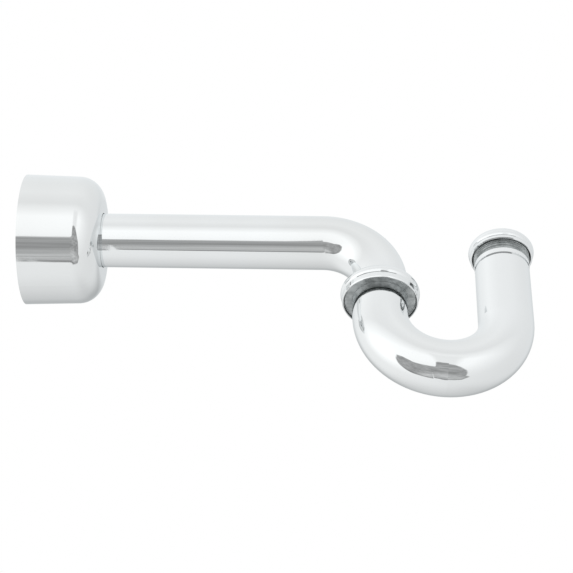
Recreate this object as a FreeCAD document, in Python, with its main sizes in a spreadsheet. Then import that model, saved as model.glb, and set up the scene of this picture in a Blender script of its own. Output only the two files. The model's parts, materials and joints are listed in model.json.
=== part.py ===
"""Chromed tubular brass P trap: wall arm, swivelling J-bend, union nut, inlet slip nut and box flange.

Millimetres, +Z up. The origin is the centre of the arm's wall end, which is also the wall plane. The arm
runs along +X, turns down, and meets the J-bend on a vertical swivel axis. Every size is a cell of the
sheet "sizes"; sketches, features and placements read it through expressions.
"""
import FreeCAD, Part
import math
import os
import re

import Sketcher

Vector = FreeCAD.Vector

SIZES = {
    # tubes
    "tube_radius": 19.05,        # 1-1/2 in tube
    "tube_wall": 1.2,
    "arm_reach": 250.0,          # wall plane to the swivel axis
    "arm_bend": 40.0,            # centre-line radius of the arm's quarter bend
    "mark_place": 22.0,          # insertion mark rolled round the wall end
    "mark_width": 0.8,
    "mark_depth": 0.25,
    "trap_bend": 43.0,           # centre-line radius of the J-bend
    "trap_dip": 69.5,            # arm axis down to the level where the J-bend's turn begins
    "rest_swing": 4.7,           # degrees that the J-bend is swung off the arm's line
    # gaps
    "braze_gap": 0.05,
    "seat_gap": 0.05,
    "slide_gap": 0.08,           # seals that run on the arm
    "nut_gap": 0.35,             # nut shoulder round its tube
    # threads, 11.5 turns to the inch
    "pitch": 2.209,
    "thread_depth": 0.8,
    "thread_base": 1.3,
    "thread_crest": 0.45,
    "thread_gap": 0.2,
    # union joint, heights above the nut's lower rim
    "union_drop": 57.0,          # arm axis down to the rim
    "union_thread": 23.1,        # crest radius of the outlet collar's thread
    "union_collar_low": 2.0,     # the collar sits up inside the nut's mouth
    "union_collar_height": 7.4,
    "union_land": 1.4,           # from the collar's foot to its thread
    "union_lip": 24.6,           # radius of the lip at the collar's foot
    "union_lip_height": 0.7,
    "union_bevel": 0.4,
    "union_washer_height": 1.3,
    "ferrule_height": 1.8,
    "ferrule_radius": 22.4,
    "slip_ring_height": 0.4,
    # large round nut: a counterbored mouth, a plain band, a rounded bead and a domed shoulder
    "union_mouth": 25.2,
    "union_mouth_depth": 2.8,
    "union_rim": 25.75,
    "union_band": 26.1,
    "union_band_bevel": 0.7,
    "union_band_height": 4.0,
    "union_bead": 26.2,
    "union_bead_low": 4.8,
    "union_bead_high": 10.2,
    "union_bead_round": 4.2,
    "union_dome": 25.5,
    "union_dome_low": 10.7,
    "union_dome_round": 4.8,
    "union_crown": 20.85,
    "union_nut_height": 12.9,
    # inlet joint, heights above the nut's lower rim
    "inlet_drop": 7.0,           # arm axis down to the rim
    "inlet_thread": 19.55,
    "inlet_bore": 16.15,         # takes a 1-1/4 in tailpiece
    "inlet_collar_height": 5.0,
    "inlet_thread_reach": 7.0,   # how far the thread shows below the rim
    "inlet_runout": 0.9,
    "inlet_neck": 11.0,          # rim down to the neck's lower edge
    "inlet_neck_swell": 0.15,
    "inlet_joint": 12.6,         # rim down to the tube's end
    "inlet_joint_groove": 0.7,
    "inlet_spigot": 21.6,        # rim down to the end of the collar inside the tube
    "inlet_washer_bore": 15.95,
    "inlet_washer_height": 3.2,
    "washer_bevel": 1.6,
    # small round nut, shaped like the large one
    "inlet_mouth": 20.65,
    "inlet_mouth_depth": 1.9,
    "inlet_rim": 21.3,
    "inlet_band": 21.9,
    "inlet_band_bevel": 0.5,
    "inlet_band_height": 2.1,
    "inlet_bead": 22.15,
    "inlet_bead_low": 2.8,
    "inlet_bead_high": 8.2,
    "inlet_bead_round": 5.2,
    "inlet_dome": 22.1,
    "inlet_dome_low": 8.35,
    "inlet_dome_round": 4.2,
    "inlet_crown": 18.4,
    "inlet_nut_height": 11.0,
    "inlet_nut_bore": 16.6,
    # both nuts
    "mouth_step": 0.8,           # slope from the counterbore up to the thread
    "band_groove": 0.45,
    "bead_lean": 0.1,            # how much further out the bead's upper end stands
    # wall joint, inside the box flange
    "wall_nut_place": 24.0,      # wall plane to the nut's mouth
    "wall_washer_height": 3.2,
    # box flange
    "flange_depth": 54.2,
    "flange_radius": 46.1,
    "flange_front_radius": 45.0,
    "flange_corner": 17.0,
    "flange_sheet": 1.2,
    "flange_hole_gap": 0.4,
    "hub_depth": 3.6,
    "hub_radius": 22.6,
    "hub_lip": 20.4,
    "hub_wall": 1.0,
    "grip_section": 1.55,
}

doc = FreeCAD.newDocument("p_trap")
sheet = doc.addObject("Spreadsheet::Sheet", "sizes")
for row, (alias, number) in enumerate(SIZES.items(), start=1):
    sheet.set(f"A{row}", alias)
    sheet.set(f"B{row}", str(number))
    sheet.setAlias(f"B{row}", alias)
doc.recompute()

subparts = []


def bound(text):
    """Turn names of cells in a formula into references to the sheet."""
    return re.sub(r"[a-z_]+", lambda word: f"sizes.{word[0]}" if word[0] in SIZES else word[0], text)


def value(text):
    """The number that a formula gives."""
    return float(sheet.evalExpression(bound(text)))


def new_body(label):
    body = doc.addObject("PartDesign::Body", label)
    body.Label = label
    subparts.append(body)
    return body


def new_sketch(body, role, name):
    """A sketch on one of the body's own origin planes."""
    sketch = body.newObject("Sketcher::SketchObject", name)
    origin_plane = next(plane for plane in body.Origin.OriginFeatures if plane.Role == role)
    sketch.AttachmentSupport = [(origin_plane, "")]
    sketch.MapMode = "FlatFace"
    return sketch


def constrain(sketch, kind, where, formula):
    """Add a dimension and bind it to the sheet."""
    index = sketch.addConstraint(Sketcher.Constraint(kind, *where, value(formula)))
    sketch.setExpression(f"Constraints[{index}]", bound(formula))


def fix_point(sketch, edge, end, across, along):
    constrain(sketch, "DistanceX", (-1, 1, edge, end), across)
    constrain(sketch, "DistanceY", (-1, 1, edge, end), along)


def arc_between(first, last, radius):
    """The shorter counter-clockwise arc from first to last."""
    chord = last - first
    rise = math.sqrt(radius ** 2 - (chord.Length / 2) ** 2)
    left = Vector(-chord.y, chord.x, 0).normalize()
    centre = (first + last) * 0.5 + left * rise
    start = math.atan2(first.y - centre.y, first.x - centre.x)
    end = math.atan2(last.y - centre.y, last.x - centre.x)
    return Part.ArcOfCircle(Part.Circle(centre, Vector(0, 0, 1), radius), start, end)


def draw_outline(sketch, corners):
    """Close an outline, counter-clockwise, through (radius, height) corners given as formulas.

    A third formula in a corner makes the edge that leaves it an arc of that radius. It swells outwards,
    or inwards where a fourth item says "hollow".
    """
    points = [Vector(value(corner[0]), value(corner[1]), 0) for corner in corners]
    edges = []
    for index, corner in enumerate(corners):
        here = points[index]
        there = points[(index + 1) % len(points)]
        if len(corner) == 2:
            edge = sketch.addGeometry(Part.LineSegment(here, there))
            ends = (1, 2)
        elif corner[-1] == "hollow":
            edge = sketch.addGeometry(arc_between(there, here, value(corner[2])))
            ends = (2, 1)
        else:
            edge = sketch.addGeometry(arc_between(here, there, value(corner[2])))
            ends = (1, 2)
        edges.append((edge, ends))
    for index, (edge, ends) in enumerate(edges):
        next_edge, next_ends = edges[(index + 1) % len(edges)]
        sketch.addConstraint(Sketcher.Constraint("Coincident", edge, ends[1], next_edge, next_ends[0]))
        fix_point(sketch, edge, ends[0], *corners[index][:2])
        if len(corners[index]) > 2:
            constrain(sketch, "Radius", (edge,), corners[index][2])


def turned_body(label, corners):
    """A body of revolution round its local Z axis."""
    body = new_body(label)
    outline = new_sketch(body, "XZ_Plane", f"{label}_outline")
    draw_outline(outline, corners)
    turned = body.newObject("PartDesign::Revolution", f"{label}_turned")
    turned.Profile = outline
    turned.ReferenceAxis = (outline, ["V_Axis"])
    turned.Angle = 360
    doc.recompute()
    return body


def ring_body(label, inner, outer, low, high):
    return turned_body(label, [(inner, low), (outer, low), (outer, high), (inner, high)])


def add_thread(body, root, crest, low, high):
    """Wind a ridge round the local Z axis, from height low to height high, standing from root to crest."""
    inward = value(crest) < value(root)
    buried = f"{root} + thread_gap" if inward else f"{root} - thread_gap"
    slope = "(thread_base - thread_crest) / 2"
    ridge = [
        (buried, low),
        (root, low),
        (crest, f"{low} + {slope}"),
        (crest, f"{low} + {slope} + thread_crest"),
        (root, f"{low} + thread_base"),
        (buried, f"{low} + thread_base"),
    ]
    profile = new_sketch(body, "XZ_Plane", f"{body.Label}_thread_profile")
    draw_outline(profile, ridge[::-1] if inward else ridge)
    thread = body.newObject("PartDesign::AdditiveHelix", f"{body.Label}_thread")
    thread.Profile = profile
    thread.ReferenceAxis = (profile, ["V_Axis"])
    thread.Mode = 0
    thread.setExpression("Pitch", bound("pitch"))
    thread.setExpression("Height", bound(f"({high}) - ({low}) - thread_base"))
    doc.recompute()


def draw_path(sketch, points, arcs):
    """An open path of lines through points, where arcs[n] gives the centre and radius of edge n."""
    ends = [Vector(value(across), value(along), 0) for across, along in points]
    joints = []
    for index in range(len(points) - 1):
        if index in arcs:
            across, along, radius, turn = arcs[index]
            centre = Vector(value(across), value(along), 0)
            circle = Part.Circle(centre, Vector(0, 0, 1), value(radius))
            first, last = ends[index:index + 2] if turn == "left" else ends[index:index + 2][::-1]
            start = math.atan2(first.y - centre.y, first.x - centre.x)
            end = math.atan2(last.y - centre.y, last.x - centre.x)
            edge = sketch.addGeometry(Part.ArcOfCircle(circle, start, end))
            constrain(sketch, "Radius", (edge,), radius)
            joints.append((edge, (1, 2) if turn == "left" else (2, 1)))
        else:
            edge = sketch.addGeometry(Part.LineSegment(ends[index], ends[index + 1]))
            joints.append((edge, (1, 2)))
            fix_point(sketch, edge, 1, *points[index])
            fix_point(sketch, edge, 2, *points[index + 1])
    for (edge, edge_ends), (next_edge, next_ends) in zip(joints, joints[1:]):
        sketch.addConstraint(Sketcher.Constraint("Coincident", edge, edge_ends[1], next_edge, next_ends[0]))


def tube_body(label, mouth_plane, mouth_rise, points, arcs):
    """A tube along a path in the local XZ plane, whose first end lies in a plane parallel to mouth_plane."""
    body = new_body(label)
    path = new_sketch(body, "XZ_Plane", f"{label}_path")
    draw_path(path, points, arcs)
    section = new_sketch(body, mouth_plane, f"{label}_section")
    section.setExpression("AttachmentOffset.Base.z", bound(mouth_rise))
    for radius in ("tube_radius", "tube_radius - tube_wall"):
        circle = section.addGeometry(Part.Circle(Vector(0, 0, 0), Vector(0, 0, 1), value(radius)))
        section.addConstraint(Sketcher.Constraint("Coincident", circle, 3, -1, 1))
        constrain(section, "Radius", (circle,), radius)
    pipe = body.newObject("PartDesign::AdditivePipe", f"{label}_pipe")
    pipe.Profile = section
    pipe.Spine = (path, [f"Edge{number + 1}" for number in range(len(points) - 1)])
    doc.recompute()
    return body


def place(piece, across="0", along="0", up="0", turn_axis=Vector(0, 0, 1), turn="0"):
    """Put a sub-part at a point, turned round turn_axis by a number of degrees."""
    piece.Placement = FreeCAD.Placement(Vector(0, 0, 0), FreeCAD.Rotation(turn_axis, 1))
    for letter, formula in zip("xyz", (across, along, up)):
        piece.setExpression(f"Placement.Base.{letter}", bound(formula))
    piece.setExpression("Placement.Rotation.Angle", bound(turn))


def on_swivel(piece, up):
    """On the swivel axis, turned with the J-bend."""
    place(piece, across="arm_reach", up=up, turn="rest_swing")


def on_inlet(piece, up):
    """On the inlet leg's axis, turned with the J-bend."""
    place(
        piece,
        across="arm_reach + 2 * trap_bend * cos(rest_swing)",
        along="2 * trap_bend * sin(rest_swing)",
        up=up,
        turn="rest_swing",
    )


def on_arm(piece, distance):
    """On the arm's axis, with local Z pointing away from the wall."""
    place(piece, across=distance, turn_axis=Vector(0, 1, 0), turn="90")


# Heights in the union joint, stacked up from the nut's rim.
WASHER_TOP = "union_collar_height + union_washer_height"
FERRULE_LOW = f"{WASHER_TOP} + seat_gap"
FERRULE_TOP = f"{FERRULE_LOW} + ferrule_height"
SLIP_RING_LOW = f"{FERRULE_TOP} + seat_gap"
SLIP_RING_TOP = f"{SLIP_RING_LOW} + slip_ring_height"
UNION_SHOULDER = f"{SLIP_RING_TOP} + seat_gap"

# Heights in the inlet joint.
INLET_WASHER_TOP = "inlet_collar_height + inlet_washer_height"
INLET_RING_LOW = f"{INLET_WASHER_TOP} + seat_gap"
INLET_RING_TOP = f"{INLET_RING_LOW} + slip_ring_height"
INLET_SHOULDER = f"{INLET_RING_TOP} + seat_gap"
INLET_THREAD_LOW = "-inlet_thread_reach + inlet_runout"

CLEAR_OF_TUBE = "tube_radius + nut_gap"
UNION_CORE = "union_thread - thread_depth"
INLET_CORE = "inlet_thread - thread_depth"
INLET_SEAL = "inlet_thread - thread_depth - thread_gap"


def trap_arm_tube():
    foot = f"-(union_drop - ({FERRULE_LOW}))"
    bend_start = "arm_reach - arm_bend"
    points = [("0", "0"), (bend_start, "0"), ("arm_reach", "-arm_bend"), ("arm_reach", foot)]
    arcs = {1: (bend_start, "-arm_bend", "arm_bend", "right")}
    body = tube_body("trap_arm_tube", "YZ_Plane", "0", points, arcs)
    mark = new_sketch(body, "XZ_Plane", "insertion_mark_outline")
    draw_outline(mark, [
        ("mark_place", "tube_radius - mark_depth"),
        ("mark_place + mark_width", "tube_radius - mark_depth"),
        ("mark_place + mark_width", "tube_radius + mark_depth"),
        ("mark_place", "tube_radius + mark_depth"),
    ])
    groove = body.newObject("PartDesign::Groove", "insertion_mark")
    groove.Profile = mark
    groove.ReferenceAxis = (mark, ["H_Axis"])
    groove.Angle = 360
    doc.recompute()


def j_bend_tube():
    outlet_top = "-(union_drop - union_collar_height)"
    inlet_top = "-(inlet_drop + inlet_joint)"
    points = [
        ("0", outlet_top),
        ("0", "-trap_dip"),
        ("trap_bend", "-trap_dip - trap_bend"),
        ("2 * trap_bend", "-trap_dip"),
        ("2 * trap_bend", inlet_top),
    ]
    half_turn = ("trap_bend", "-trap_dip", "trap_bend", "left")
    arcs = {1: half_turn, 2: half_turn}
    body = tube_body("j_bend_tube", "XY_Plane", outlet_top, points, arcs)
    on_swivel(body, "0")


def arm_ferrule():
    inner = "tube_radius + braze_gap"
    on_swivel(ring_body("arm_ferrule", inner, "ferrule_radius", FERRULE_LOW, FERRULE_TOP), "-union_drop")


def union_washer():
    inner = "tube_radius - tube_wall + nut_gap"
    body = ring_body("union_washer", inner, "ferrule_radius", "union_collar_height", WASHER_TOP)
    on_swivel(body, "-union_drop")


def union_friction_ring():
    body = ring_body("union_friction_ring", CLEAR_OF_TUBE, "ferrule_radius", SLIP_RING_LOW, SLIP_RING_TOP)
    on_swivel(body, "-union_drop")


def j_bend_outlet_collar():
    """Brazed round the top of the J-bend's outlet; its bevelled lip nearly fills the nut's mouth."""
    inner = "tube_radius + braze_gap"
    thread_low = "union_collar_low + union_land"
    lip_top = "union_collar_low + union_lip_height"
    body = turned_body("j_bend_outlet_collar", [
        (inner, "union_collar_low"),
        ("union_lip - union_bevel", "union_collar_low"),
        ("union_lip", "union_collar_low + union_bevel"),
        ("union_lip", lip_top),
        (UNION_CORE, lip_top),
        (UNION_CORE, "union_collar_height"),
        (inner, "union_collar_height"),
    ])
    add_thread(body, UNION_CORE, "union_thread", thread_low, "union_collar_height")
    on_swivel(body, "-union_drop")


def slip_nut(label, size, bore, hole, shoulder):
    """A round nut whose sheet cells start with size; bore is its thread's root and hole takes the tube."""
    return turned_body(label, [
        (f"{size}_mouth", "0"),
        (f"{size}_rim", "0"),
        (f"{size}_band", f"{size}_band_bevel"),
        (f"{size}_band", f"{size}_band_height"),
        (f"{size}_band - band_groove", f"({size}_band_height + {size}_bead_low) / 2"),
        (f"{size}_bead", f"{size}_bead_low", f"{size}_bead_round"),
        (f"{size}_bead + bead_lean", f"{size}_bead_high"),
        (f"{size}_dome", f"{size}_dome_low", f"{size}_dome_round"),
        (f"{size}_crown", f"{size}_nut_height"),
        (hole, f"{size}_nut_height"),
        (hole, shoulder),
        (bore, shoulder),
        (bore, f"{size}_mouth_depth + mouth_step"),
        (f"{size}_mouth", f"{size}_mouth_depth"),
    ])


def large_slip_nut(label):
    """1-1/2 in nut: it joins the arm to the J-bend, and another joins the arm to the wall."""
    bore = "union_thread + thread_gap"
    body = slip_nut(label, "union", bore, CLEAR_OF_TUBE, UNION_SHOULDER)
    low = "union_collar_low + union_land + pitch / 2"
    add_thread(body, bore, f"{bore} - thread_depth", low, "union_collar_height + pitch / 2")
    return body


def j_bend_inlet_collar():
    """Threaded end of the inlet leg: spigot in the tube, joint groove, plain neck, thread."""
    spigot = "tube_radius - tube_wall - braze_gap"
    groove = "tube_radius - inlet_joint_groove"
    neck = "tube_radius + inlet_neck_swell"
    body = turned_body("j_bend_inlet_collar", [
        ("inlet_bore", "-inlet_spigot"),
        (spigot, "-inlet_spigot"),
        (spigot, "-inlet_joint"),
        (groove, "-inlet_joint"),
        (groove, "-inlet_neck"),
        (neck, "-inlet_neck"),
        (neck, "-inlet_thread_reach"),
        (INLET_CORE, INLET_THREAD_LOW),
        (INLET_CORE, "inlet_collar_height"),
        ("inlet_bore", "inlet_collar_height"),
    ])
    add_thread(body, INLET_CORE, "inlet_thread", INLET_THREAD_LOW, "inlet_collar_height")
    on_inlet(body, "-inlet_drop")


def inlet_slip_nut():
    """1-1/4 in nut that squeezes the inlet washer on the sink's tailpiece."""
    bore = "inlet_thread + thread_gap"
    body = slip_nut("inlet_slip_nut", "inlet", bore, "inlet_nut_bore", INLET_SHOULDER)
    low = f"{INLET_THREAD_LOW} + 4.5 * pitch"
    add_thread(body, bore, f"{bore} - thread_depth", low, "inlet_collar_height + pitch / 2")
    on_inlet(body, "-inlet_drop")


def inlet_washer():
    """Bevelled rubber washer that sits in the collar's mouth and squeezes the tailpiece."""
    body = turned_body("inlet_washer", [
        ("inlet_washer_bore", "inlet_collar_height"),
        (f"{INLET_SEAL} - washer_bevel", "inlet_collar_height"),
        (INLET_SEAL, "inlet_collar_height + washer_bevel"),
        (INLET_SEAL, INLET_WASHER_TOP),
        ("inlet_washer_bore", INLET_WASHER_TOP),
    ])
    on_inlet(body, "-inlet_drop")


def inlet_friction_ring():
    body = ring_body("inlet_friction_ring", "inlet_nut_bore", INLET_SEAL, INLET_RING_LOW, INLET_RING_TOP)
    on_inlet(body, "-inlet_drop")


def wall_washer():
    """Bevelled rubber washer on the arm, its bevel towards the wall adapter."""
    inner = "tube_radius + slide_gap"
    high = SLIP_RING_LOW
    low = f"{SLIP_RING_LOW} - wall_washer_height"
    body = turned_body("wall_washer", [
        (inner, low),
        ("ferrule_radius - washer_bevel", low),
        ("ferrule_radius", f"{low} + washer_bevel"),
        ("ferrule_radius", high),
        (inner, high),
    ])
    on_arm(body, "wall_nut_place")


def wall_friction_ring():
    body = ring_body("wall_friction_ring", CLEAR_OF_TUBE, "ferrule_radius", SLIP_RING_LOW, SLIP_RING_TOP)
    on_arm(body, "wall_nut_place")


def box_flange():
    """Deep spun cup: a slightly tapered wall, a round front corner and a channel for the grip ring."""
    front = "flange_depth"
    inside = "flange_depth - flange_sheet"
    corner_start = "flange_depth - flange_corner"
    corner_end = "flange_front_radius - flange_corner"
    hole = "tube_radius + flange_hole_gap"
    channel = f"{inside} - hub_depth"
    body = turned_body("box_flange", [
        ("flange_radius - flange_sheet", "0"),
        ("flange_radius", "0"),
        ("flange_front_radius", corner_start, "flange_corner"),
        (corner_end, front),
        (hole, front),
        (hole, inside),
        ("hub_radius", inside),
        ("hub_radius", channel),
        ("hub_lip", channel),
        ("hub_lip", f"{channel} - hub_wall"),
        ("hub_radius + hub_wall", f"{channel} - hub_wall"),
        ("hub_radius + hub_wall", inside),
        (corner_end, inside, "flange_corner - flange_sheet", "hollow"),
        ("flange_front_radius - flange_sheet", corner_start),
    ])
    on_arm(body, "0")


def flange_grip_ring():
    """O-ring held in the flange's hub channel."""
    ring = doc.addObject("Part::Torus", "flange_grip_ring")
    ring.Label = "flange_grip_ring"
    ring.setExpression("Radius1", bound("tube_radius + slide_gap + grip_section"))
    ring.setExpression("Radius2", bound("grip_section"))
    subparts.append(ring)
    on_arm(ring, "flange_depth - flange_sheet - hub_depth / 2")


def export_subparts():
    """Stop on any failed object or bad shape, then write one STEP file for each sub-part."""
    doc.recompute()
    for item in doc.Objects:
        if {"Invalid", "Error"} & set(item.State):
            raise RuntimeError(f"{item.Label} failed: {item.State}")
    for piece in subparts:
        if piece.Shape.isNull() or not piece.Shape.isValid() or len(piece.Shape.Solids) != 1:
            raise RuntimeError(f"{piece.Label} has a bad shape")
    os.makedirs("parts", exist_ok=True)
    for piece in subparts:
        piece.Shape.exportStep(f"parts/{piece.Label}.step")
        print(f"{piece.Label}: {piece.Shape.Volume:.1f} mm3")


trap_arm_tube()
arm_ferrule()
j_bend_tube()
j_bend_outlet_collar()
j_bend_inlet_collar()
union_washer()
inlet_washer()
union_friction_ring()
on_swivel(large_slip_nut("union_nut"), "-union_drop")
inlet_friction_ring()
inlet_slip_nut()
box_flange()
flange_grip_ring()
wall_washer()
wall_friction_ring()
on_arm(large_slip_nut("wall_nut"), "wall_nut_place")
export_subparts()
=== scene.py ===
"""Looks of the chromed P trap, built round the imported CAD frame. Metres, +Z up."""

import json
import math

import bpy
from mathutils import Matrix, Vector


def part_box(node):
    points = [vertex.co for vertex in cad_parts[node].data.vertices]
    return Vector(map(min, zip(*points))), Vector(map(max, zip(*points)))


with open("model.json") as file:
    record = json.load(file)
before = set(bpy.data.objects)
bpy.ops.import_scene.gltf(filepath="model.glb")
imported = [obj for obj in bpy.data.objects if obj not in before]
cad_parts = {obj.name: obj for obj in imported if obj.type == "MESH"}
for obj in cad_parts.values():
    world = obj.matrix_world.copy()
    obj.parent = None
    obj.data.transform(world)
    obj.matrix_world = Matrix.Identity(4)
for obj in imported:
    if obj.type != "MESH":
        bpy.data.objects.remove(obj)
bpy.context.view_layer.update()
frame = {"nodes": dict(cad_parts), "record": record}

CAMERA_AIM = Vector((0.1857, -0.0051, -0.0477))
CAMERA_DISTANCE = 1.2
CAMERA_AZIMUTH = math.radians(2.57)
CAMERA_ELEVATION = math.radians(-43.57)
CAMERA_ROLL = math.radians(2.53)
CAMERA_LENS = 109.84         # mm
CAMERA_SENSOR = 36.0         # mm
CAMERA_REACH = 200.0
FLOOR_HEIGHT = -1.6
FLOOR_HALF = 80.0

CHROME = (0.797, 0.808, 0.812)
CHROME_WORN = (0.760, 0.765, 0.760)
# dull nickel for the turned parts' insides, darker than the plating: partly dull plating, partly painted
# shade for the recesses
NICKEL_AND_SHADE = (0.53, 0.55, 0.55)
NICKEL_DARK_AND_SHADE = (0.38, 0.40, 0.40)
BRASS = (0.66, 0.47, 0.22)
BRASS_DARK = (0.30, 0.20, 0.10)
SCALE = (0.46, 0.45, 0.40)
RUBBER = (0.020, 0.020, 0.022)
RUBBER_BLOOM = (0.060, 0.060, 0.064)
NYLON = (0.80, 0.79, 0.73)
NYLON_SHADE = (0.68, 0.66, 0.58)
PAPER = (0.86, 0.87, 0.87)
PAPER_LIGHT = (0.90, 0.90, 0.90)
SPECULAR_TINT = (0.97, 0.99, 1.0)

# sizes of the CAD parts that the materials follow: bends at the tubes' axes, and where the bores' brass ends
ARM_BEND = 0.040
TRAP_BEND = 0.043
BRASS_INSIDE = 0.0180
FLANGE_DEPTH = 0.0542
FLANGE_FRONT_RADIUS = 0.0450
FLANGE_CORNER = 0.0170
FLANGE_SHEET = 0.0012
FLANGE_TAPER = 0.0302

# dull insides of the turned parts, their darker colour partly painted shade for the recesses: a radius, and
# two heights above the part's low end
BELOW_ALL = -0.001
LARGE_NUT_RECESS = (0.0253, BELOW_ALL, 0.0109)
SMALL_NUT_RECESS = (0.0208, BELOW_ALL, 0.0093)
WHOLE_COLLAR = (0.03, BELOW_ALL, 0.05)
COLLAR_THREAD = (0.03, 0.0146, 0.05)
MASK_EDGE = 0.0002

# polishing haze as a roughness, and the depth of the turning or buffing lines
TUBE_FINISH = (0.045, 0.0000006)
SPUN_FINISH = (0.05, 0.0000015)
NUT_FINISH = (0.07, 0.000002)
COLLAR_FINISH = (0.09, 0.0000015)

# roughness of the other surfaces, as (least, most), and what each mark adds to it
RECESS_ROUGHNESS = (0.42, 0.58)
BRASS_ROUGHNESS = (0.22, 0.5)
RUBBER_ROUGHNESS = (0.45, 0.72)
NYLON_ROUGHNESS = (0.34, 0.46)
RUBBED_ROUGHNESS = 0.6
WIPE_ROUGHNESS = 0.03
SCRATCH_ROUGHNESS = 0.05
DUST_ROUGHNESS = 0.12
LIME_ROUGHNESS = 0.3

# noise scales along X, Y and Z, per metre, that draw a mark out into lines
HAIR_STRETCH = (60.0, 1400.0, 300.0)
CROSSING_STRETCH = (900.0, 70.0, 1300.0)
WIPE_STRETCH = (35.0, 35.0, 120.0)
FLOW_STRETCH = (200.0, 200.0, 1500.0)
STREAK_STRETCH = (3.0, 9.0, 9.0)
SPOTLESS_SHARE = 0.6

# heights of the other relief
WAVE_HEIGHT = 0.00022
SCRATCH_HEIGHT = -0.0000008
BRASS_LINE_HEIGHT = 0.000012
LIME_HEIGHT = 0.00004
PEBBLE_HEIGHT = 0.00003
FLOW_HEIGHT = 0.000015

# The tent's levels, as (angle in degrees, level) points. Azimuth is measured from straight in front,
# positive to the right, and elevation from level.
FRONT_BY_ELEVATION = [
    (-90, 1.0), (-60, 1.04), (-35, 1.19), (-22, 1.24), (-3, 1.26), (8, 1.14), (16, 1.06), (23, 0.98),
    (32, 1.0), (47, 1.05), (65, 1.03), (90, 1.0),
]
FRONT_BY_AZIMUTH = [(-108, 0), (-90, 0.6), (-76, 1), (30, 1), (44, 0.6), (58, 0.3), (78, 0)]
ROUND_BY_AZIMUTH = [
    (-180, 0.95), (-150, 1.02), (-75, 1.12), (-50, 1.06), (-30, 1.01), (0, 0.985), (60, 0.95), (100, 0.91),
    (150, 0.88), (180, 0.95),
]
BACK_BY_ELEVATION = [
    (-90, 1.0), (-67, 0.97), (-51, 0.93), (-35, 0.88), (-19, 0.81), (-3, 0.74), (12, 0.60), (26, 0.56),
    (38, 0.74), (50, 0.92), (90, 1.0),
]
# the dark opening's upper edge, as (azimuth, elevation)
OPENING_TOP = [
    (-120, -80), (-98, -72), (-82, -50), (-70, -38), (-58, -31), (-46, -25), (-38, -27), (-30, -36),
    (-22, -39), (-3, -39), (-1, -36), (1, -22), (3, -19), (9, -19), (15, -23), (22, -29), (30, -36),
    (40, -43), (50, -51), (60, -58), (74, -58), (84, -66), (115, -80),
]
# the opening's back edge, as (lean to the right, lean backwards) of a ray; a bright panel cuts into it
OPENING_BACK = [
    (-0.1385, -0.03), (-0.1365, -0.48), (-0.131, -0.30), (-0.125, -0.10), (-0.110, -0.08), (-0.02, -0.07),
    (0.03, -0.02),
]
OPENING_BY_ELEVATION = [
    (-88, 0.45), (-83, 0.50), (-80, 0.56), (-76, 0.60), (-70, 0.62), (-66, 0.56), (-62, 0.44), (-57, 0.38),
    (-48, 0.41), (-40, 0.45), (-33, 0.42), (-24, 0.40), (-10, 0.40),
]
# a post at these azimuths and below these elevations keeps a part of the front light off
POST_SHADE = [(0, 0), (4, 1), (16, 1), (22, 0)]
POST_TOP = (4.0, 14.0)
POST_DEPTH = 0.8
# the back's darker band, by how far a ray leans sideways and backwards
BACK_SIDES = (0.25, 0.8)
BACK_START = (0.15, 0.75)
POLE_LEVEL = 0.985
TENT_TINT = (0.985, 1.0, 1.005)
# the opening's edges: wobble and softness in degrees, then softness and a lighter rim along the back
TOP_WOBBLE = 4.0
TOP_SOFTNESS = 1.5
BACK_SOFTNESS = 0.02
BACK_RIM = (-0.10, -0.05)
BACK_RIM_LEVEL = 0.68


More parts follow.
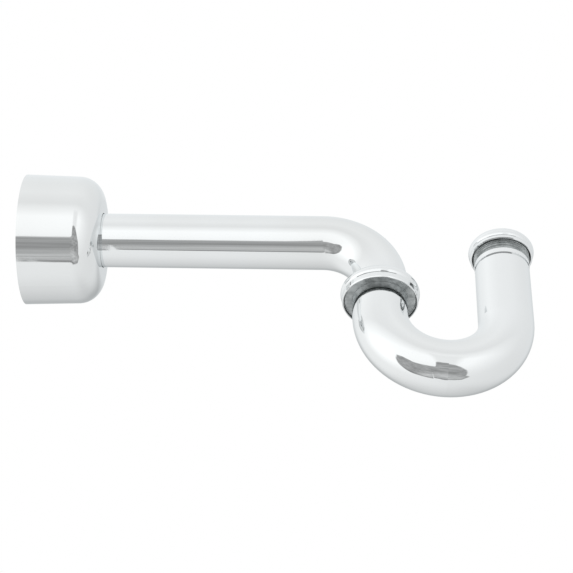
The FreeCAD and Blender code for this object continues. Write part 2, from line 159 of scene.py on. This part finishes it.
class Tree:
    """A node tree with short calls for its common nodes. Inputs are sockets, numbers or colours."""

    def __init__(self, tree):
        self.tree = tree
        tree.nodes.clear()

    def node(self, kind, inputs=None, **settings):
        made = self.tree.nodes.new(kind)
        for name, setting in settings.items():
            setattr(made, name, setting)
        for name, source in (inputs or {}).items():
            self.feed(made.inputs[name], source)
        return made

    def feed(self, socket, source):
        if isinstance(source, bpy.types.NodeSocket):
            self.tree.links.new(source, socket)
        elif source is not None:
            socket.default_value = source

    def math(self, operation, first, second=None, third=None):
        made = self.node("ShaderNodeMath", operation=operation)
        for socket, source in zip(made.inputs, (first, second, third)):
            self.feed(socket, source)
        return made.outputs[0]

    def curve(self, source, points):
        """Straight runs through (input, output) points, as a sum of clamped slopes."""
        total = points[0][1]
        for (here, level), (there, next_level) in zip(points, points[1:]):
            if next_level == level:
                continue
            made = self.node("ShaderNodeMapRange", interpolation_type="LINEAR", clamp=True)
            for name, setting in (("Value", source), ("From Min", float(here)), ("From Max", float(there)),
                                  ("To Min", 0.0), ("To Max", float(next_level - level))):
                self.feed(made.inputs[name], setting)
            total = self.math("ADD", made.outputs["Result"], total)
        return total

    def lerp(self, factor, first, second):
        made = self.node("ShaderNodeMix", data_type="FLOAT")
        for socket, source in zip((made.inputs[0], made.inputs[2], made.inputs[3]), (factor, first, second)):
            self.feed(socket, source)
        return made.outputs[0]

    def step(self, source, low, high, to_low=0.0, to_high=1.0):
        """Smooth rise from to_low to to_high as source goes from low to high."""
        made = self.node("ShaderNodeMapRange", interpolation_type="SMOOTHSTEP", clamp=True)
        for name, setting in (("Value", source), ("From Min", low), ("From Max", high),
                              ("To Min", to_low), ("To Max", to_high)):
            self.feed(made.inputs[name], setting)
        return made.outputs["Result"]

    def mix(self, factor, first, second):
        made = self.node("ShaderNodeMix", data_type="RGBA")
        self.feed(made.inputs[0], factor)
        self.feed(made.inputs[6], first)
        self.feed(made.inputs[7], second)
        return made.outputs[2]

    def noise(self, vector, scale, detail=2.0, roughness=0.5, distortion=0.0):
        made = self.node("ShaderNodeTexNoise", {"Vector": vector, "Scale": scale, "Detail": detail,
                                                "Roughness": roughness, "Distortion": distortion})
        return made.outputs["Fac"]

    def scaled(self, vector, factors):
        made = self.node("ShaderNodeMapping", {"Vector": vector, "Scale": factors})
        return made.outputs["Vector"]

    def split(self, vector):
        return self.node("ShaderNodeSeparateXYZ", {"Vector": vector}).outputs

    def join(self, x, y, z):
        return self.node("ShaderNodeCombineXYZ", {"X": x, "Y": y, "Z": z}).outputs["Vector"]

    def place(self):
        return self.node("ShaderNodeTexCoord").outputs["Object"]

    def stretched(self, along, side, outward, lengthways, across):
        """Noise coordinates with one scale along a form's axis and another across it."""
        return self.join(self.math("MULTIPLY", along, lengthways), self.math("MULTIPLY", side, across),
                         self.math("MULTIPLY", outward, across))

    def length(self, first, second):
        squares = [self.math("MULTIPLY", side, side) for side in (first, second)]
        return self.math("SQRT", self.math("ADD", *squares))

    def spots(self, vector, scale, size, soften):
        """Round spots of one size, at random places and for a part of the cells only."""
        made = self.node("ShaderNodeTexVoronoi", {"Vector": vector, "Scale": scale})
        chance = self.node("ShaderNodeSeparateColor", {"Color": made.outputs["Color"]}).outputs[0]
        kept = self.step(chance, SPOTLESS_SHARE, SPOTLESS_SHARE + 0.01)
        spot = self.step(made.outputs["Distance"], size, size + soften, to_low=1.0, to_high=0.0)
        return self.math("MULTIPLY", kept, spot)

    def bump(self, height, distance, normal=None):
        made = self.node("ShaderNodeBump", {"Height": height, "Distance": distance, "Strength": 1.0,
                                            "Normal": normal})
        return made.outputs["Normal"]


def rgba(colour):
    return (*colour, 1.0)


def add_camera():
    """The photograph's view: from below and in front, a little to the right, and rolled slightly."""
    back = Vector((
        math.sin(CAMERA_AZIMUTH) * math.cos(CAMERA_ELEVATION),
        -math.cos(CAMERA_AZIMUTH) * math.cos(CAMERA_ELEVATION),
        math.sin(CAMERA_ELEVATION),
    ))
    level_right = Vector((0, 0, 1)).cross(back).normalized()
    level_up = back.cross(level_right)
    right = level_right * math.cos(CAMERA_ROLL) + level_up * math.sin(CAMERA_ROLL)
    up = back.cross(right)
    turn = Matrix((right, up, back)).transposed()
    data = bpy.data.cameras.new("camera")
    data.sensor_width = CAMERA_SENSOR
    data.lens = CAMERA_LENS
    data.clip_end = CAMERA_REACH
    camera = bpy.data.objects.new("camera", data)
    camera.matrix_world = Matrix.Translation(CAMERA_AIM + back * CAMERA_DISTANCE) @ turn.to_4x4()
    bpy.context.scene.collection.objects.link(camera)
    bpy.context.scene.camera = camera


def add_floor():
    """A plain pale floor, well below the trap, which hangs on a wall. Reflections leave it out."""
    data = bpy.data.meshes.new("floor")
    corners = [(-FLOOR_HALF, -FLOOR_HALF), (FLOOR_HALF, -FLOOR_HALF),
               (FLOOR_HALF, FLOOR_HALF), (-FLOOR_HALF, FLOOR_HALF)]
    data.from_pydata([(x, y, FLOOR_HEIGHT) for x, y in corners], [], [(0, 1, 2, 3)])
    floor = bpy.data.objects.new("floor", data)
    bpy.context.scene.collection.objects.link(floor)
    material, tree = new_material("pale_floor")
    fleck = tree.noise(tree.place(), scale=30.0, detail=4.0)
    colour = tree.mix(fleck, rgba(PAPER), rgba(PAPER_LIGHT))
    surface(tree, base_color=colour, roughness=0.8)
    data.materials.append(material)
    floor.visible_glossy = False


def tent_walls(tree, x, y, z, azimuth, elevation):
    """Level of the tent's walls: by azimuth all round, then by elevation in front and behind."""
    levelness = tree.math("COSINE", tree.math("ARCSINE", z))
    around = tree.lerp(levelness, POLE_LEVEL, tree.curve(azimuth, ROUND_BY_AZIMUTH))
    post = tree.math("MULTIPLY", tree.curve(azimuth, POST_SHADE),
                     tree.step(elevation, *POST_TOP, to_low=POST_DEPTH, to_high=0.0))
    frontness = tree.math("MULTIPLY", tree.curve(azimuth, FRONT_BY_AZIMUTH), tree.math("SUBTRACT", 1.0, post))
    front = tree.lerp(frontness, 1.0, tree.curve(elevation, FRONT_BY_ELEVATION))
    middle = tree.step(tree.math("ABSOLUTE", x), *BACK_SIDES, to_low=1.0, to_high=0.0)
    backness = tree.math("MULTIPLY", tree.step(y, *BACK_START), middle)
    back = tree.lerp(backness, 1.0, tree.curve(elevation, BACK_BY_ELEVATION))
    return tree.math("MULTIPLY", tree.math("MULTIPLY", around, front), back)


def tent_opening(tree, direction, x, y, azimuth, elevation):
    """Mask of the dark opening, and its level, which is streaked and lighter along the back edge."""
    wobble = tree.math("MULTIPLY_ADD", tree.noise(direction, scale=5.0), TOP_WOBBLE, -TOP_WOBBLE / 2)
    top = tree.math("ADD", tree.curve(azimuth, OPENING_TOP), wobble)
    over_top = tree.math("SUBTRACT", elevation, top)
    past_back = tree.math("SUBTRACT", y, tree.curve(x, OPENING_BACK))
    inside = tree.math("MULTIPLY", tree.step(over_top, -TOP_SOFTNESS, TOP_SOFTNESS, to_low=1.0, to_high=0.0),
                       tree.step(past_back, -BACK_SOFTNESS, BACK_SOFTNESS, to_low=1.0, to_high=0.0))
    streak = tree.noise(tree.scaled(direction, STREAK_STRETCH), scale=2.0, detail=4.0, roughness=0.6)
    streaked = tree.math("MULTIPLY", tree.curve(elevation, OPENING_BY_ELEVATION),
                         tree.step(streak, 0.3, 0.7, to_low=0.8, to_high=1.25))
    rim = tree.step(past_back, *BACK_RIM, to_low=1.0, to_high=BACK_RIM_LEVEL)
    return inside, tree.math("MULTIPLY", streaked, rim)


def add_tent():
    """A white light tent, brightest in front, with a dark opening low in front where the camera looks in."""
    world = bpy.data.worlds.new("tent")
    bpy.context.scene.world = world
    world.use_nodes = True
    tree = Tree(world.node_tree)
    direction = tree.node("ShaderNodeTexCoord").outputs["Generated"]
    x, y, z = tree.split(direction)
    azimuth = tree.math("DEGREES", tree.math("ARCTAN2", x, tree.math("MULTIPLY", y, -1.0)))
    elevation = tree.math("DEGREES", tree.math("ARCSINE", z))
    walls = tent_walls(tree, x, y, z, azimuth, elevation)
    inside, opening = tent_opening(tree, direction, x, y, azimuth, elevation)
    level = tree.lerp(inside, walls, opening)
    cool = tree.node("ShaderNodeCombineColor")
    for socket, tint in zip(cool.inputs, TENT_TINT):
        tree.feed(socket, tree.math("MULTIPLY", level, tint))
    seen = tree.node("ShaderNodeLightPath").outputs["Is Camera Ray"]
    final = tree.mix(seen, cool.outputs[0], rgba((1.0, 1.0, 1.0)))
    background = tree.node("ShaderNodeBackground", {"Color": final, "Strength": 1.0})
    output = tree.node("ShaderNodeOutputWorld")
    tree.tree.links.new(background.outputs[0], output.inputs["Surface"])


def new_material(name):
    material = bpy.data.materials.new(name)
    material.use_nodes = True
    return material, Tree(material.node_tree)


def surface(tree, **inputs):
    shader = tree.node("ShaderNodeBsdfPrincipled")
    for name, source in inputs.items():
        tree.feed(shader.inputs[name.replace("_", " ").title()], source)
    output = tree.node("ShaderNodeOutputMaterial")
    tree.tree.links.new(shader.outputs[0], output.inputs["Surface"])
    return shader


def straight_form(node, axis):
    """Form coordinates of a part turned about a straight axis: height above its low end, and two across."""
    low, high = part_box(node)
    centre = [(side + other) / 2 for side, other in zip(low, high)]
    centre["XYZ".index(axis)] = low["XYZ".index(axis)]

    def coordinates(tree, place):
        offset = tree.node("ShaderNodeVectorMath", {"Vector": place}, operation="SUBTRACT")
        offset.inputs[1].default_value = centre
        x, y, z = tree.split(offset.outputs[0])
        return (x, y, z) if axis == "X" else (z, x, y)

    return coordinates


def round_bend(tree, run, rise, beyond, bend):
    """Length along a bent tube's axis, and how far out of the bend a place lies.

    run and rise are counted from the bend's centre, and beyond is the length past its ends.
    """
    outward = tree.math("SUBTRACT", tree.length(run, rise), bend)
    turned = tree.math("MULTIPLY", tree.math("ARCTAN2", run, rise), bend)
    return tree.math("ADD", turned, beyond), outward


def arm_form(tree, place):
    """Form coordinates of the arm: along its axis and round its quarter bend."""
    low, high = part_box("trap_arm_tube")
    radius = (high[1] - low[1]) / 2
    x, y, z = tree.split(place)
    run = tree.math("SUBTRACT", x, high[0] - radius - ARM_BEND)
    rise = tree.math("SUBTRACT", z, high[2] - radius - ARM_BEND)
    before = tree.math("MINIMUM", run, 0.0)
    after = tree.math("MINIMUM", rise, 0.0)
    beyond = tree.math("SUBTRACT", before, after)
    along, outward = round_bend(tree, tree.math("MAXIMUM", run, 0.0), tree.math("MAXIMUM", rise, 0.0),
                                beyond, ARM_BEND)
    return along, y, outward


def centre_of(node):
    low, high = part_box(node)
    return Vector(((low[0] + high[0]) / 2, (low[1] + high[1]) / 2, 0))


def j_bend_form(tree, place):
    """Form coordinates of the J-bend: down its outlet leg, round its half bend and up its inlet leg."""
    low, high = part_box("j_bend_tube")
    outlet = centre_of("j_bend_outlet_collar")
    across = centre_of("j_bend_inlet_collar") - outlet
    reach = across.length / 2
    across.normalize()
    tube_radius = outlet.x - low[0]
    level = low[2] + tube_radius + TRAP_BEND
    offset = tree.node("ShaderNodeVectorMath", {"Vector": place}, operation="SUBTRACT")
    offset.inputs[1].default_value = outlet
    x, y, z = tree.split(offset.outputs[0])
    run = tree.math("ADD", tree.math("MULTIPLY", x, across.x), tree.math("MULTIPLY_ADD", y, across.y, -reach))
    side = tree.math("ADD", tree.math("MULTIPLY", x, -across.y), tree.math("MULTIPLY", y, across.x))
    depth = tree.math("SUBTRACT", level, z)
    leg = tree.math("MAXIMUM", tree.math("MULTIPLY", depth, -1.0), 0.0)
    beyond = tree.math("MULTIPLY", tree.math("SIGN", run), leg)
    along, outward = round_bend(tree, run, tree.math("MAXIMUM", depth, 0.0), beyond, TRAP_BEND)
    return along, side, outward


def scratches(tree, place):
    """Mask of fine scratches in two directions."""
    hairs = tree.noise(tree.scaled(place, HAIR_STRETCH), scale=1.0)
    crossing = tree.noise(tree.scaled(place, CROSSING_STRETCH), scale=1.0)
    return tree.math("MAXIMUM", tree.step(hairs, 0.74, 0.78), tree.step(crossing, 0.76, 0.80))


def plating_roughness(tree, place, haze, scratch):
    """Polishing haze in clouds, with wipe marks, scratches and dust over it."""
    cloud = tree.noise(place, scale=60.0, detail=6.0, roughness=0.6)
    rough = tree.step(cloud, 0.3, 0.75, to_low=haze * 0.6, to_high=haze * 1.5)
    wiped = tree.noise(tree.scaled(place, WIPE_STRETCH), scale=1.0, detail=3.0, distortion=1.2)
    rough = tree.math("ADD", rough, tree.step(wiped, 0.58, 0.8, to_high=WIPE_ROUGHNESS))
    rough = tree.math("MULTIPLY_ADD", scratch, SCRATCH_ROUGHNESS, rough)
    dust = tree.spots(place, scale=700.0, size=0.10, soften=0.08)
    return tree.math("MULTIPLY_ADD", dust, DUST_ROUGHNESS, rough)


def chrome(name, form, finish, recess):
    """Bright plating: long waves, fine lines round the axis, polishing haze, wipe marks, scratches and dust.

    finish is the haze and the depth of the turning or buffing lines. recess gives a mask, from the form's
    coordinates, of the places that plating and polishing hardly reach, and the two colours seen there. In the
    turned parts' insides these are dull nickel tones, darkened partly as painted shade for the recesses.
    """
    haze, line_height = finish
    mask, first, second = recess
    material, tree = new_material(name)
    place = tree.place()
    along, side, outward = form(tree, place)
    radius = tree.length(side, outward)

    drift = tree.noise(place, scale=7.0, detail=3.0)
    plated = tree.mix(tree.step(drift, 0.35, 0.8), rgba(CHROME), rgba(CHROME_WORN))
    scratch = scratches(tree, place)
    polished = plating_roughness(tree, place, haze, scratch)

    inside = mask(tree, along, radius)
    # inside the turned parts, the darker nickel tones are partly painted shade for the recesses; in the
    # tubes' bores it is the brass
    stain = tree.noise(place, scale=170.0, detail=3.0, roughness=0.6)
    inside_tone = tree.mix(tree.step(stain, 0.35, 0.7), rgba(first), rgba(second))
    colour = tree.mix(inside, plated, inside_tone)
    rough = tree.lerp(inside, polished, tree.step(stain, 0.3, 0.7, *RECESS_ROUGHNESS))

    swell = tree.stretched(along, side, outward, lengthways=26.0, across=14.0)
    wave = tree.noise(swell, scale=1.0, detail=1.0)
    across_lines = tree.math("ADD", along, radius)
    ring = tree.stretched(across_lines, side, outward, lengthways=2600.0, across=25.0)
    turned = tree.noise(ring, scale=1.0, detail=3.0, roughness=0.7)
    normal = tree.bump(wave, WAVE_HEIGHT)
    normal = tree.bump(turned, line_height, normal)
    normal = tree.bump(scratch, SCRATCH_HEIGHT, normal)
    shader = surface(tree, base_color=colour, metallic=1.0, roughness=rough, normal=normal)
    shader.inputs["Specular Tint"].default_value = rgba(SPECULAR_TINT)
    return material


def below(tree, source, limit):
    """1 under the limit and 0 over it."""
    return tree.step(source, limit - MASK_EDGE / 2, limit + MASK_EDGE / 2, to_low=1.0, to_high=0.0)


def recess_of(wide, low, high):
    """Mask of a turned part's inside, within radius wide and between two heights above its low end."""

    def mask(tree, along, radius):
        narrow = tree.step(radius, wide - MASK_EDGE, wide + MASK_EDGE / 2, to_low=1.0, to_high=0.0)
        above = tree.step(along, low - MASK_EDGE, low)
        under = tree.step(along, high - MASK_EDGE, high, to_low=1.0, to_high=0.0)
        return tree.math("MULTIPLY", narrow, tree.math("MULTIPLY", above, under))

    return mask


def flange_inside(tree, along, radius):
    """Mask of the flange's inner skin, found from its round corner's centre."""
    straight = FLANGE_DEPTH - FLANGE_CORNER
    before = tree.math("MINIMUM", tree.math("SUBTRACT", along, straight), 0.0)
    levelled = tree.math("MULTIPLY_ADD", before, FLANGE_TAPER, radius)
    outward = tree.math("MAXIMUM", tree.math("SUBTRACT", levelled, FLANGE_FRONT_RADIUS - FLANGE_CORNER), 0.0)
    onward = tree.math("MAXIMUM", tree.math("SUBTRACT", along, straight), 0.0)
    middle = FLANGE_CORNER - FLANGE_SHEET / 2
    return below(tree, tree.length(outward, onward), middle)


def tube_inside(tree, along, radius):
    """Mask of a tube's bore, anywhere along it."""
    return below(tree, radius, BRASS_INSIDE)


def raw_brass(name, form):
    """Turned brass with tarnish, soldering stains and lime specks."""
    material, tree = new_material(name)
    place = tree.place()
    along, side, outward = form(tree, place)
    across_lines = tree.math("ADD", along, tree.length(side, outward))
    tarnish = tree.noise(place, scale=90.0, detail=7.0, roughness=0.65)
    tarnished = tree.mix(tree.step(tarnish, 0.35, 0.75), rgba(BRASS), rgba(BRASS_DARK))
    lime = tree.spots(place, scale=420.0, size=0.16, soften=0.12)
    colour = tree.mix(lime, tarnished, rgba(SCALE))
    rough = tree.math("MULTIPLY_ADD", lime, LIME_ROUGHNESS, tree.step(tarnish, 0.3, 0.7, *BRASS_ROUGHNESS))
    ring = tree.stretched(across_lines, side, outward, lengthways=5200.0, across=20.0)
    turned = tree.noise(ring, scale=1.0)
    normal = tree.bump(turned, BRASS_LINE_HEIGHT)
    normal = tree.bump(lime, LIME_HEIGHT, normal)
    metallic = tree.math("MULTIPLY_ADD", lime, -0.8, 1.0)
    surface(tree, base_color=colour, metallic=metallic, roughness=rough, normal=normal)
    return material


def black_rubber(name):
    """Moulded rubber with a grey bloom, fine pebbling and pale dust in its dimples."""
    material, tree = new_material(name)
    place = tree.place()
    bloom = tree.noise(place, scale=140.0, detail=6.0, roughness=0.6)
    pebble = tree.noise(place, scale=2600.0, detail=3.0, roughness=0.6)
    dust = tree.spots(place, scale=900.0, size=0.12, soften=0.15)
    faded = tree.mix(tree.step(bloom, 0.4, 0.75), rgba(RUBBER), rgba(RUBBER_BLOOM))
    colour = tree.mix(tree.math("MULTIPLY", dust, 0.5), faded, rgba(SCALE))
    rough = tree.step(bloom, 0.3, 0.7, *RUBBER_ROUGHNESS)
    normal = tree.bump(pebble, PEBBLE_HEIGHT)
    surface(tree, base_color=colour, roughness=rough, normal=normal)
    return material


def white_nylon(name):
    """Moulded nylon, slightly yellowed, with faint flow marks and rubbed patches."""
    material, tree = new_material(name)
    place = tree.place()
    age = tree.noise(place, scale=110.0, detail=5.0)
    flow = tree.noise(tree.scaled(place, FLOW_STRETCH), scale=1.0, detail=3.0, distortion=0.8)
    rubbed = tree.step(tree.noise(place, scale=260.0, detail=4.0), 0.55, 0.7)
    colour = tree.mix(tree.step(age, 0.35, 0.75), rgba(NYLON), rgba(NYLON_SHADE))
    rough = tree.lerp(rubbed, tree.step(flow, 0.3, 0.7, *NYLON_ROUGHNESS), RUBBED_ROUGHNESS)
    normal = tree.bump(flow, FLOW_HEIGHT)
    surface(tree, base_color=colour, roughness=rough, normal=normal)
    return material


def dress():
    """Give every CAD node its finished material."""
    bore = (tube_inside, BRASS, BRASS_DARK)
    looks = {
        "trap_arm_tube": chrome("arm_polished_tube", arm_form, TUBE_FINISH, bore),
        "j_bend_tube": chrome("trap_polished_tube", j_bend_form, TUBE_FINISH, bore),
    }
    turned_parts = [
        ("box_flange", "spun_chrome", "X", SPUN_FINISH, flange_inside),
        ("union_nut", "union_nut", "Z", NUT_FINISH, recess_of(*LARGE_NUT_RECESS)),
        ("wall_nut", "wall_nut", "X", NUT_FINISH, recess_of(*LARGE_NUT_RECESS)),
        ("inlet_slip_nut", "inlet_nut", "Z", NUT_FINISH, recess_of(*SMALL_NUT_RECESS)),
        ("j_bend_outlet_collar", "outlet_collar", "Z", COLLAR_FINISH, recess_of(*WHOLE_COLLAR)),
        ("j_bend_inlet_collar", "inlet_collar", "Z", COLLAR_FINISH, recess_of(*COLLAR_THREAD)),
    ]
    # each turned part's inside gets the darker nickel tones, partly dull plating and partly painted shade
    for node, name, axis, finish, mask in turned_parts:
        looks[node] = chrome(name, straight_form(node, axis), finish, (mask, NICKEL_AND_SHADE, NICKEL_DARK_AND_SHADE))
    looks["arm_ferrule"] = raw_brass("raw_brass", straight_form("arm_ferrule", "Z"))
    plain = {"black_rubber": black_rubber("black_rubber"), "white_nylon": white_nylon("white_nylon")}
    for subpart in frame["record"]["subparts"]:
        node = subpart["node"]
        for slot in frame["nodes"][node].material_slots:
            slot.material = looks.get(node) or plain[subpart["material_slot"]]


add_camera()
add_floor()
add_tent()
dress()
bpy.context.scene.view_settings.view_transform = "Standard"
